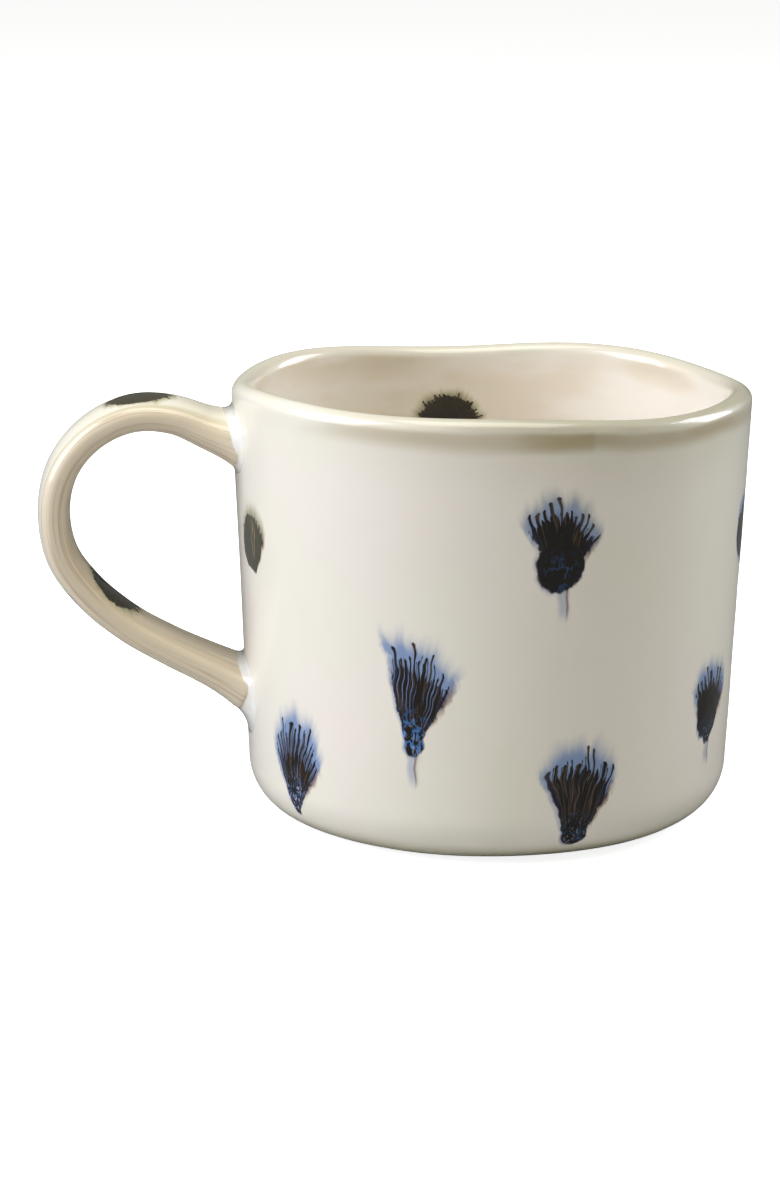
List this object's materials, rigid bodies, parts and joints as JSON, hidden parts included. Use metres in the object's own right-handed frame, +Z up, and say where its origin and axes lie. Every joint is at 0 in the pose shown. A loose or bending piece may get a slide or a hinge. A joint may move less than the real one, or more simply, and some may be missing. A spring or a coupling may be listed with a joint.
{
  "type": "stoneware mug",
  "caption": "Hand-made stoneware mug with a wavy rim, soft lower corner, strap handle and scattered dabs of reactive glaze.",
  "frame": {"origin": "centre of the flat underside of the foot, on the axis of the vessel", "axes": "+Z up along the vessel axis; the handle points along -X with its middle plane at y = 0; -Y is the side seen from the front with the handle at the left"},
  "size_m": [0.1296, 0.0943, 0.0799],
  "materials": {
    "cream_glaze": "satin to glossy cream reactive glaze, thinning to tan along the rim",
    "handle_glaze": "satin to glossy glaze, thinner and more tan than on the wall, with faint lengthwise streaks",
    "weld_glaze": "glossy, thick near-white glaze pooled in the fillet",
    "bare_clay": "matt unglazed fired stoneware",
    "blue_glaze": "glossy black-brown and cobalt reactive glaze with feathered upper edges"
  },
  "bodies": {
    "root": {"vessel": "cream_glaze", "foot": "bare_clay", "handle": "handle_glaze", "upper_weld": "weld_glaze", "lower_weld": "weld_glaze", "wall_mark_1": "blue_glaze", "wall_mark_2": "blue_glaze", "wall_mark_3": "blue_glaze", "wall_mark_4": "blue_glaze", "wall_mark_5": "blue_glaze", "wall_mark_6": "blue_glaze", "wall_mark_7": "blue_glaze", "wall_mark_8": "blue_glaze", "wall_mark_9": "blue_glaze", "wall_mark_10": "blue_glaze", "wall_mark_11": "blue_glaze", "wall_mark_12": "blue_glaze", "wall_mark_13": "blue_glaze", "inside_mark_1": "blue_glaze", "inside_mark_2": "blue_glaze", "inside_mark_3": "blue_glaze", "inside_mark_4": "blue_glaze", "handle_mark_1": "blue_glaze", "handle_mark_2": "blue_glaze", "handle_mark_3": "blue_glaze"}
  },
  "joints": []
}
